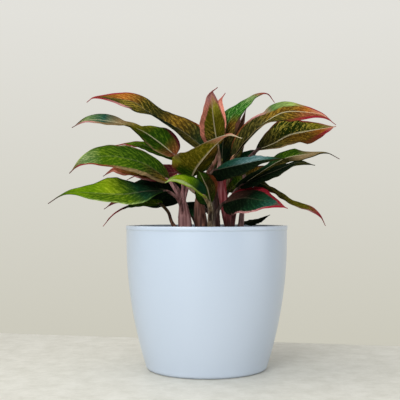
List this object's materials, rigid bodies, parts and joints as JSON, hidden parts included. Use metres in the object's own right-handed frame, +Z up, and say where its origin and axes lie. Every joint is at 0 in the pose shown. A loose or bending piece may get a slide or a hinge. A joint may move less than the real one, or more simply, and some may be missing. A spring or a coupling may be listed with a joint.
{
  "type": "potted chinese evergreen",
  "caption": "Leafy house plant with red-edged green leaves on pink petioles, standing in potting mix in a plain round planter.",
  "frame": {"origin": "middle of the planter's flat underside", "axes": "+Z up, +X along the plant's widest spread, -Y towards the side it is mostly seen from"},
  "size_m": [0.3257, 0.2533, 0.3189],
  "materials": {
    "planter": "gloss",
    "potting_mix": "matte",
    "shoot": "satin",
    "leaf_green": "satin",
    "leaf_flushed": "satin"
  },
  "bodies": {
    "root": {"planter": "planter", "potting_mix": "potting_mix", "shoot_a": "shoot", "shoot_b": "shoot", "shoot_c": "shoot", "shoot_d": "shoot", "shoot_e": "shoot", "shoot_f": "shoot", "leaf_upper_left": "leaf_flushed", "leaf_left_second": "leaf_flushed", "leaf_left_third": "leaf_green", "leaf_mid_left": "leaf_green", "leaf_lower_left": "leaf_green", "leaf_low_left": "leaf_green", "leaf_under_left": "leaf_green", "leaf_inner_left": "leaf_green", "leaf_centre_upright": "leaf_flushed", "leaf_behind_upright": "leaf_flushed", "leaf_upper_right_green": "leaf_green", "leaf_right_long": "leaf_flushed", "leaf_right_wavy": "leaf_flushed", "leaf_mid_right": "leaf_green", "leaf_olive_right": "leaf_flushed", "leaf_right_thin_tip": "leaf_green", "leaf_right_dark": "leaf_green", "leaf_low_right_broad": "leaf_green", "leaf_long_droop": "leaf_flushed", "leaf_small_low_right": "leaf_green", "leaf_centre_olive": "leaf_flushed", "leaf_small_light": "leaf_green", "leaf_front_midrib": "leaf_green", "leaf_back_middle": "leaf_green", "leaf_back_left": "leaf_green", "leaf_back_right": "leaf_green", "leaf_low_back": "leaf_green", "leaf_low_back_left": "leaf_green", "leaf_low_back_right": "leaf_green"}
  },
  "joints": []
}
